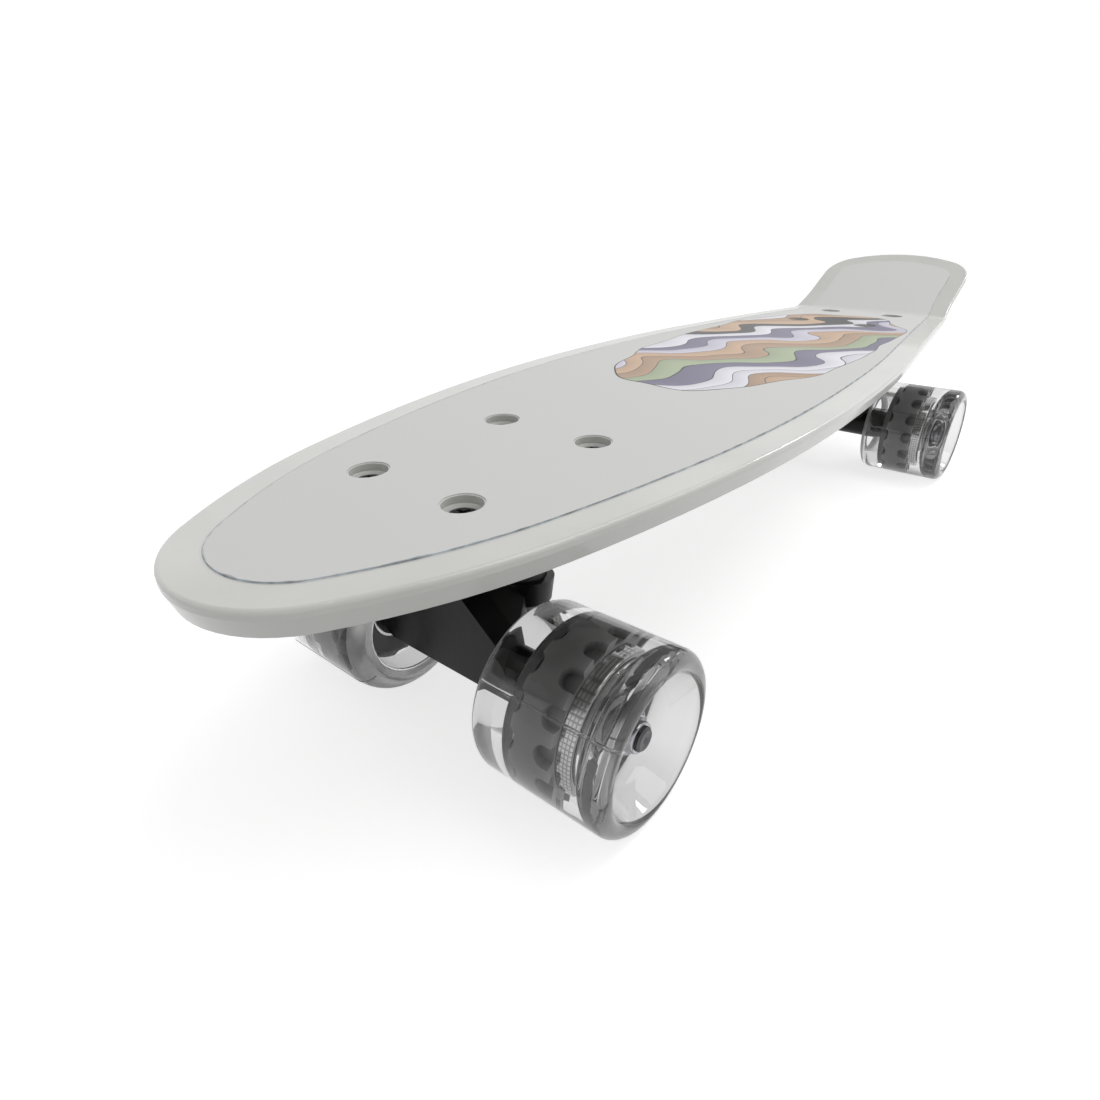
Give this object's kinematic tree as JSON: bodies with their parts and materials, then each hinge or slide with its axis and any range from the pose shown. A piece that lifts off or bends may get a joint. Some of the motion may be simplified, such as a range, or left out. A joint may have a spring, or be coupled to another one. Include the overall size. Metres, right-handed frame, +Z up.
{
  "type": "cruiser skateboard",
  "caption": "Short plastic cruiser skateboard with an arched deck, a kicked tail, sprung kingpin trucks and clear cast wheels on cored bearings",
  "frame": {"origin": "centre of the bounding box in plan, on the floor that the wheels stand on", "axes": "+X along the board towards the nose, +Y across to the left, +Z up"},
  "size_m": [0.5594, 0.157, 0.1314],
  "materials": {
    "board_plastic": "satin moulded plastic",
    "board_film": "matt printed film",
    "black_paint": "satin black coat over cast aluminium",
    "black_urethane": "soft cast urethane",
    "black_steel": "black oxide steel",
    "dark_steel": "plain turned steel",
    "clear_urethane": "clear cast urethane, glossy",
    "grey_core": "moulded core, satin",
    "bearing_steel": "ground steel",
    "bright_steel": "bright zinc plate"
  },
  "bodies": {
    "board": {"deck": "board_plastic", "deck_film": "board_film", "front_baseplate": "black_paint", "front_pivot_cup": "black_urethane", "front_kingpin": "black_steel", "front_kingpin_nut": "black_steel", "front_kingpin_washers": "black_steel", "front_bushing_upper": "black_urethane", "front_bushing_lower": "black_urethane", "front_mounting_screws": "black_steel", "front_mounting_nuts": "black_steel", "rear_baseplate": "black_paint", "rear_pivot_cup": "black_urethane", "rear_kingpin": "black_steel", "rear_kingpin_nut": "black_steel", "rear_kingpin_washers": "black_steel", "rear_bushing_upper": "black_urethane", "rear_bushing_lower": "black_urethane", "rear_mounting_screws": "black_steel", "rear_mounting_nuts": "black_steel"},
    "front_truck": {"front_hanger": "black_paint", "front_axle": "dark_steel", "front_left_bearing_inner_races": "bearing_steel", "front_left_bearing_spacer": "bearing_steel", "front_left_speed_washers": "bearing_steel", "front_left_axle_nut": "bright_steel", "front_right_bearing_inner_races": "bearing_steel", "front_right_bearing_spacer": "bearing_steel", "front_right_speed_washers": "bearing_steel", "front_right_axle_nut": "bright_steel"},
    "front_left_wheel": {"front_left_tyre": "clear_urethane", "front_left_core": "grey_core", "front_left_bearing_outer_races": "bearing_steel"},
    "front_right_wheel": {"front_right_tyre": "clear_urethane", "front_right_core": "grey_core", "front_right_bearing_outer_races": "bearing_steel"},
    "rear_truck": {"rear_hanger": "black_paint", "rear_axle": "dark_steel", "rear_left_bearing_inner_races": "bearing_steel", "rear_left_bearing_spacer": "bearing_steel", "rear_left_speed_washers": "bearing_steel", "rear_left_axle_nut": "bright_steel", "rear_right_bearing_inner_races": "bearing_steel", "rear_right_bearing_spacer": "bearing_steel", "rear_right_speed_washers": "bearing_steel", "rear_right_axle_nut": "bright_steel"},
    "rear_left_wheel": {"rear_left_tyre": "clear_urethane", "rear_left_core": "grey_core", "rear_left_bearing_outer_races": "bearing_steel"},
    "rear_right_wheel": {"rear_right_tyre": "clear_urethane", "rear_right_core": "grey_core", "rear_right_bearing_outer_races": "bearing_steel"}
  },
  "joints": [
    {"name": "front_steer", "type": "hinge", "parent": "board", "child": "front_truck", "pos_m": [0.19645, 0, 0.07], "axis": [0.7593, 0, 0.6508], "range_deg": [-12, 12], "stiffness_Nm_per_rad": 30, "deforming": ["front_bushing_upper", "front_bushing_lower"]},
    {"name": "front_left_spin", "type": "hinge", "parent": "front_truck", "child": "front_left_wheel", "pos_m": [0.19245, 0.05325, 0.0295], "axis": [0, 1, 0], "continuous": true},
    {"name": "front_right_spin", "type": "hinge", "parent": "front_truck", "child": "front_right_wheel", "pos_m": [0.19245, -0.05325, 0.0295], "axis": [0, 1, 0], "continuous": true},
    {"name": "rear_steer", "type": "hinge", "parent": "board", "child": "rear_truck", "pos_m": [-0.18015, 0, 0.07], "axis": [-0.7593, 0, 0.6508], "range_deg": [-12, 12], "stiffness_Nm_per_rad": 30, "deforming": ["rear_bushing_upper", "rear_bushing_lower"]},
    {"name": "rear_left_spin", "type": "hinge", "parent": "rear_truck", "child": "rear_left_wheel", "pos_m": [-0.17615, 0.05325, 0.0295], "axis": [0, 1, 0], "continuous": true},
    {"name": "rear_right_spin", "type": "hinge", "parent": "rear_truck", "child": "rear_right_wheel", "pos_m": [-0.17615, -0.05325, 0.0295], "axis": [0, 1, 0], "continuous": true}
  ]
}
